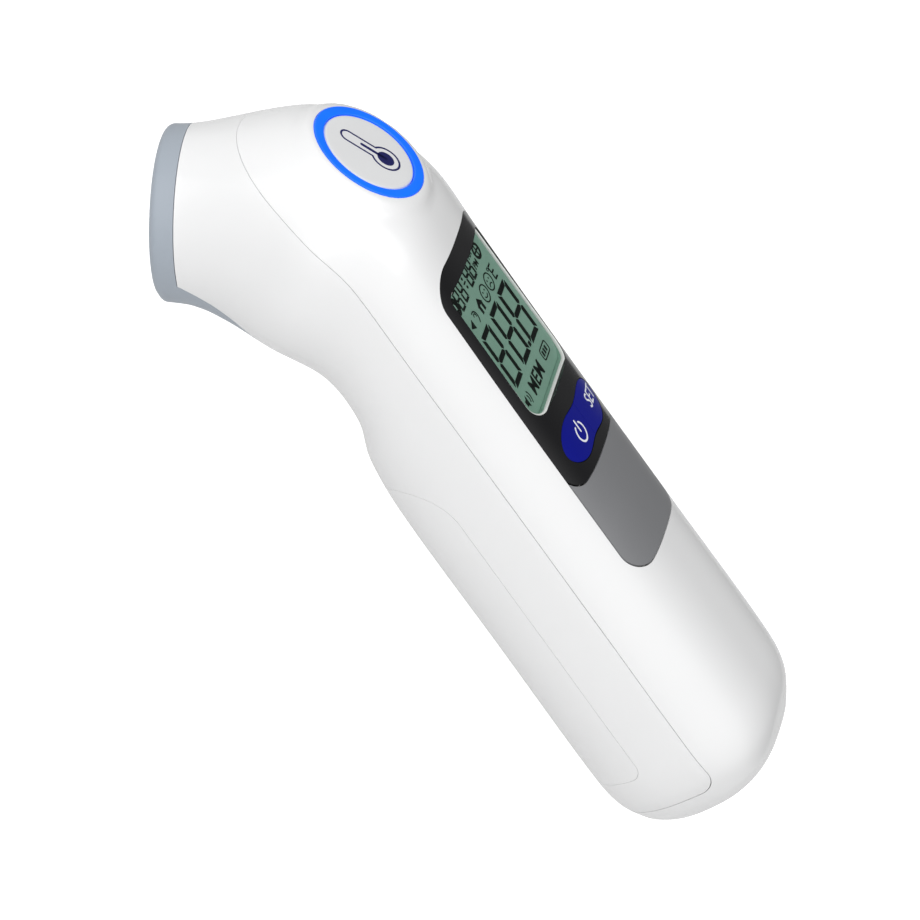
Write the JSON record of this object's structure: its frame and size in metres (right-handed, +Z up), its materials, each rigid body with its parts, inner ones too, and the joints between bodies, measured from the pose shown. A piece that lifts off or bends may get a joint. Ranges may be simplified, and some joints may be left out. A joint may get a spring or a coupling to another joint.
{
  "type": "infrared ear and forehead thermometer",
  "caption": "Handheld infrared thermometer: bent white split casing, display panel, round measure button, small keys, pull-off grey front cap over an ear probe, battery bay.",
  "frame": {"origin": "middle of the footprint, on the surface that it lies on", "axes": "+X along the handle towards its closed end, +Y across towards the user's right, +Z up, out of the display face; the handle rises by 7.4 degrees towards the head"},
  "size_m": [0.1406, 0.0388, 0.0459],
  "materials": {
    "white_shell": "smooth gloss",
    "white_back": "smooth satin gloss",
    "white_cover": "smooth satin gloss",
    "grey_cap": "fine satin",
    "black_gloss": "high gloss",
    "pale_bezel": "satin",
    "clear_lens": "clear",
    "grey_inlay": "fine satin",
    "blue_key": "satin",
    "lcd": "reflective liquid-crystal cell",
    "light_guide": "frosted",
    "contact_rubber": "striped rubber",
    "frame_white": "moulded",
    "board_green": "solder mask",
    "chip_black": "moulded epoxy",
    "switch_can": "moulded",
    "blue_ring": "translucent satin",
    "button_face": "satin",
    "probe_white": "smooth",
    "sensor_window": "dark infrared window",
    "gold": "polished gold plate",
    "brass": "turned",
    "sensor_can": "nickel plate",
    "flex_amber": "polyimide film",
    "cell_jacket": "printed jacket",
    "tray_grey": "moulded",
    "contact_steel": "nickel plate",
    "lead_black": "insulated wire",
    "lead_red": "insulated wire",
    "screw_steel": "zinc plate",
    "lcd_ink": "liquid-crystal segments",
    "print_navy": "pad print",
    "print_white": "pad print"
  },
  "bodies": {
    "housing": {"top_shell": "white_shell", "bottom_shell": "white_back", "display_panel": "black_gloss", "display_bezel": "pale_bezel", "display_lens": "clear_lens", "handle_inlay": "grey_inlay", "lcd_glass": "lcd", "backlight_guide": "light_guide", "contact_strip": "contact_rubber", "display_frame": "frame_white", "main_board": "board_green", "microcontroller": "chip_black", "buzzer": "chip_black", "power_switch": "switch_can", "set_switch": "switch_can", "button_light_ring": "blue_ring", "button_board": "board_green", "measure_switch": "switch_can", "ear_probe": "probe_white", "probe_window": "sensor_window", "waveguide": "gold", "sensor_holder": "brass", "thermopile_sensor": "sensor_can", "sensor_board": "board_green", "sensor_flex": "flex_amber", "button_flex": "flex_amber", "battery_left": "cell_jacket", "battery_right": "cell_jacket", "battery_tray": "tray_grey", "negative_spring": "contact_steel", "bridge_spring": "contact_steel", "positive_plate": "contact_steel", "bridge_plate": "contact_steel", "battery_lead_black": "lead_black", "battery_lead_red": "lead_red", "board_screw_1": "screw_steel", "board_screw_2": "screw_steel", "tray_screw_1": "screw_steel", "tray_screw_2": "screw_steel"},
    "measure_button": {"measure_button": "button_face"},
    "power_key": {"power_key": "blue_key"},
    "set_key": {"set_key": "blue_key"},
    "battery_cover": {"battery_cover": "white_cover"},
    "forehead_cap": {"forehead_cap": "grey_cap"}
  },
  "joints": [
    {"name": "measure_press", "type": "slide", "parent": "housing", "child": "measure_button", "axis": [0.3076, 0, -0.9515], "range_m": [0, 0.0008], "stiffness_N_per_m": 500},
    {"name": "power_press", "type": "slide", "parent": "housing", "child": "power_key", "axis": [-0.1286, 0, -0.9917], "range_m": [0, 0.0004], "stiffness_N_per_m": 500},
    {"name": "set_press", "type": "slide", "parent": "housing", "child": "set_key", "axis": [-0.1286, 0, -0.9917], "range_m": [0, 0.0004], "stiffness_N_per_m": 500},
    {"name": "cover_lift_off", "type": "slide", "parent": "housing", "child": "battery_cover", "axis": [-0.1286, 0, -0.9917], "range_m": [0, 0.012]},
    {"name": "cap_pull_off", "type": "slide", "parent": "housing", "child": "forehead_cap", "axis": [-0.6278, 0, -0.7784], "range_m": [0, 0.016]}
  ]
}
